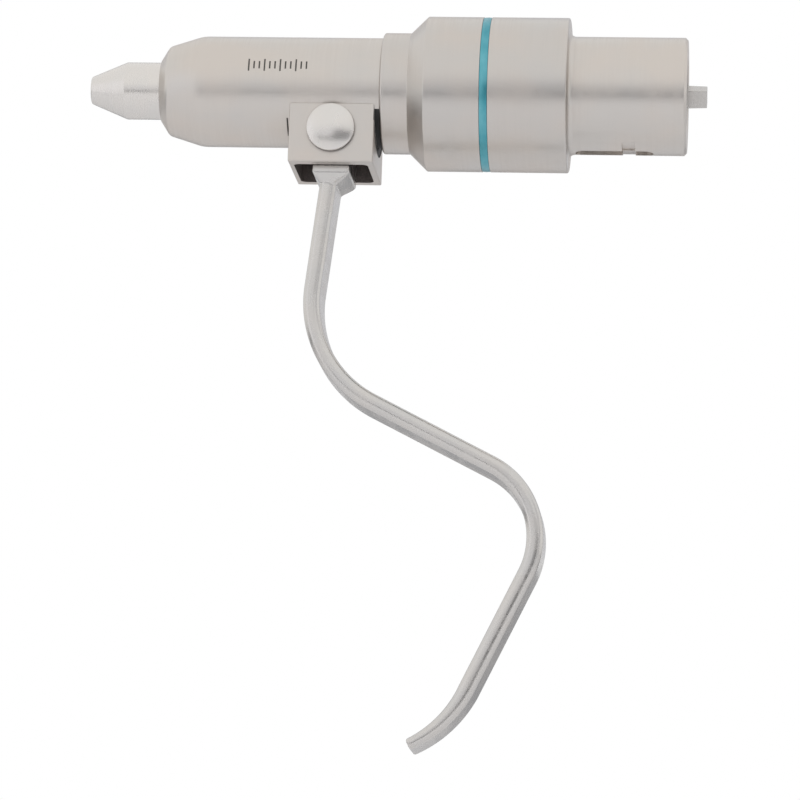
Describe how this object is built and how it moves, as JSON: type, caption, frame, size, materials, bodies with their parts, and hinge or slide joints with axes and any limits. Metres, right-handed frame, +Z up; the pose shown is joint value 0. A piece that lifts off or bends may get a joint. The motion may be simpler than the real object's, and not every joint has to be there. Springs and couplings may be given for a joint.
{
  "type": "surgical power drill wire driver attachment",
  "caption": "Lever-operated wire and pin driver attachment for a surgical power drill: nose with closing jaws, barrel, squeeze lever and keyed coupling shank.",
  "frame": {"origin": "centre of the housing's rear seat face, where the coupling shank starts", "axes": "+X along the barrel towards the coupling, -X towards the wire nose, +Z up, the lever hangs along -Z"},
  "size_m": [0.1182, 0.0296, 0.1413],
  "materials": {
    "satin_steel": "bead-blasted satin stainless steel with fine turned lines",
    "polished_steel": "polished stainless steel",
    "teal_band": "glossy teal band",
    "seal_rubber": "matt black seal rubber",
    "bronze": "plain bearing bronze",
    "spring_steel": "drawn spring wire",
    "bearing_steel": "ground bearing steel",
    "inner_steel": "turned steel"
  },
  "bodies": {
    "housing": {"front_barrel": "satin_steel", "lever_bracket": "satin_steel", "rear_housing": "satin_steel", "colour_band": "teal_band", "coupling_shank": "satin_steel", "pivot_screw": "polished_steel", "front_bearing_outer_ring": "bearing_steel", "mid_bearing_outer_ring": "bearing_steel", "rear_bearing_outer_ring": "bearing_steel", "front_seal": "seal_rubber", "front_sleeve": "inner_steel", "preload_washer": "inner_steel", "bearing_spacer": "inner_steel", "rear_seal": "seal_rubber", "front_circlip": "inner_steel", "rear_circlip": "inner_steel", "coupling_packing_ring": "seal_rubber"},
    "lever": {"lever": "polished_steel", "fork_pins": "inner_steel", "pivot_bush": "bronze"},
    "shift_ring": {"shift_ring": "inner_steel"},
    "thrust_balls": {"thrust_balls": "bearing_steel"},
    "spindle": {"nose_cap": "polished_steel", "spindle": "inner_steel", "nose_spacer": "inner_steel", "rear_sleeve": "inner_steel", "drive_shaft": "polished_steel", "drive_pin": "inner_steel", "front_bearing_inner_ring": "bearing_steel", "mid_bearing_inner_ring": "bearing_steel", "rear_bearing_inner_ring": "bearing_steel"},
    "push_tube": {"push_tube": "inner_steel", "thrust_collar": "inner_steel", "key_pins": "inner_steel", "return_spring": "spring_steel"},
    "jaw_1": {"jaw_1": "inner_steel"},
    "jaw_2": {"jaw_2": "inner_steel"},
    "jaw_3": {"jaw_3": "inner_steel"},
    "front_bearing_balls": {"front_bearing_balls": "bearing_steel"},
    "mid_bearing_balls": {"mid_bearing_balls": "bearing_steel"},
    "rear_bearing_balls": {"rear_bearing_balls": "bearing_steel"}
  },
  "joints": [
    {"name": "lever_squeeze", "type": "hinge", "parent": "housing", "child": "lever", "pos_m": [-0.0446, 0, -0.0092], "axis": [0, -1, 0], "range_deg": [0, 18], "stiffness_Nm_per_rad": 0.35, "springref_deg": -12.61},
    {"name": "shift_slide", "type": "slide", "parent": "housing", "child": "shift_ring", "axis": [-1, 0, 0], "range_m": [0, 0.00288]},
    {"name": "spindle_spin", "type": "hinge", "parent": "housing", "child": "spindle", "pos_m": [0, 0, 0], "axis": [1, 0, 0], "continuous": true},
    {"name": "thrust_ball_roll", "type": "hinge", "parent": "shift_ring", "child": "thrust_balls", "pos_m": [-0.0476, 0, 0], "axis": [1, 0, 0], "continuous": true},
    {"name": "push_slide", "type": "slide", "parent": "spindle", "child": "push_tube", "axis": [-1, 0, 0], "range_m": [0, 0.00288], "deforming": ["return_spring"]},
    {"name": "jaw_1_slide", "type": "slide", "parent": "spindle", "child": "jaw_1", "axis": [-0.9744, -0.225, 0], "range_m": [0, 0.00296]},
    {"name": "jaw_2_slide", "type": "slide", "parent": "spindle", "child": "jaw_2", "axis": [-0.9744, 0.1125, -0.1948], "range_m": [0, 0.00296]},
    {"name": "jaw_3_slide", "type": "slide", "parent": "spindle", "child": "jaw_3", "axis": [-0.9744, 0.1125, 0.1948], "range_m": [0, 0.00296]},
    {"name": "front_ball_roll", "type": "hinge", "parent": "housing", "child": "front_bearing_balls", "pos_m": [-0.0635, 0, 0], "axis": [1, 0, 0], "continuous": true},
    {"name": "mid_ball_roll", "type": "hinge", "parent": "housing", "child": "mid_bearing_balls", "pos_m": [-0.0265, 0, 0], "axis": [1, 0, 0], "continuous": true},
    {"name": "rear_ball_roll", "type": "hinge", "parent": "housing", "child": "rear_bearing_balls", "pos_m": [0.0155, 0, 0], "axis": [1, 0, 0], "continuous": true}
  ],
  "couplings": [
    {"joint": "shift_slide", "follows": "lever_squeeze", "m_per_rad": 0.0091622},
    {"joint": "push_slide", "follows": "lever_squeeze", "m_per_rad": 0.0091622},
    {"joint": "jaw_1_slide", "follows": "lever_squeeze", "m_per_rad": 0.0094032},
    {"joint": "jaw_2_slide", "follows": "lever_squeeze", "m_per_rad": 0.0094032},
    {"joint": "jaw_3_slide", "follows": "lever_squeeze", "m_per_rad": 0.0094032},
    {"joint": "front_ball_roll", "follows": "spindle_spin", "ratio": 0.4048},
    {"joint": "mid_ball_roll", "follows": "spindle_spin", "ratio": 0.4048},
    {"joint": "rear_ball_roll", "follows": "spindle_spin", "ratio": 0.4048},
    {"joint": "thrust_ball_roll", "follows": "spindle_spin", "ratio": 0.5}
  ]
}
